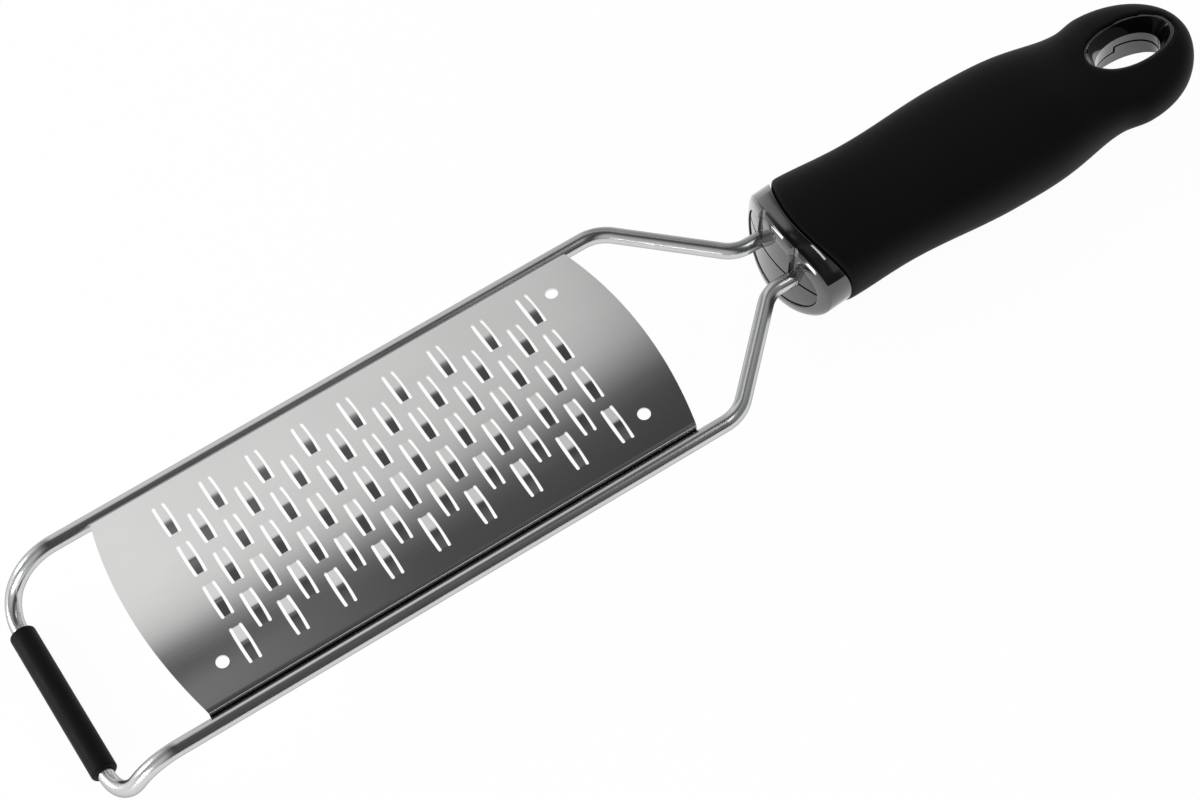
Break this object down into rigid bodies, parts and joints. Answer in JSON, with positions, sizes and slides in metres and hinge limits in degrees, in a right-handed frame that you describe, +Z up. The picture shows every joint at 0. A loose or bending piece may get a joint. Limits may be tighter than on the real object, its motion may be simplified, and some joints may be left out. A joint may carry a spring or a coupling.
{
  "type": "ribbon grater",
  "caption": "Handheld ribbon grater: an arched, etched steel blade in a bent wire frame, with a rubber foot sleeve and a soft-grip handle that has a hang hole.",
  "frame": {"origin": "under the middle of the tool's length, on the bench it lies on", "axes": "+X along the tool from the foot to the handle, +Z up from the bench, +Y to the left of someone looking from the foot to the handle"},
  "size_m": [0.322, 0.0672, 0.0265],
  "materials": {
    "wire": "polished",
    "blade": "fine lengthwise grain",
    "sleeve": "matt",
    "grip": "soft-touch matt",
    "gloss": "gloss"
  },
  "bodies": {
    "root": {"wire_frame": "wire", "grater_blade": "blade", "foot_sleeve": "sleeve", "collar": "gloss", "core_upper": "gloss", "core_lower": "gloss", "soft_grip": "grip"}
  },
  "joints": []
}
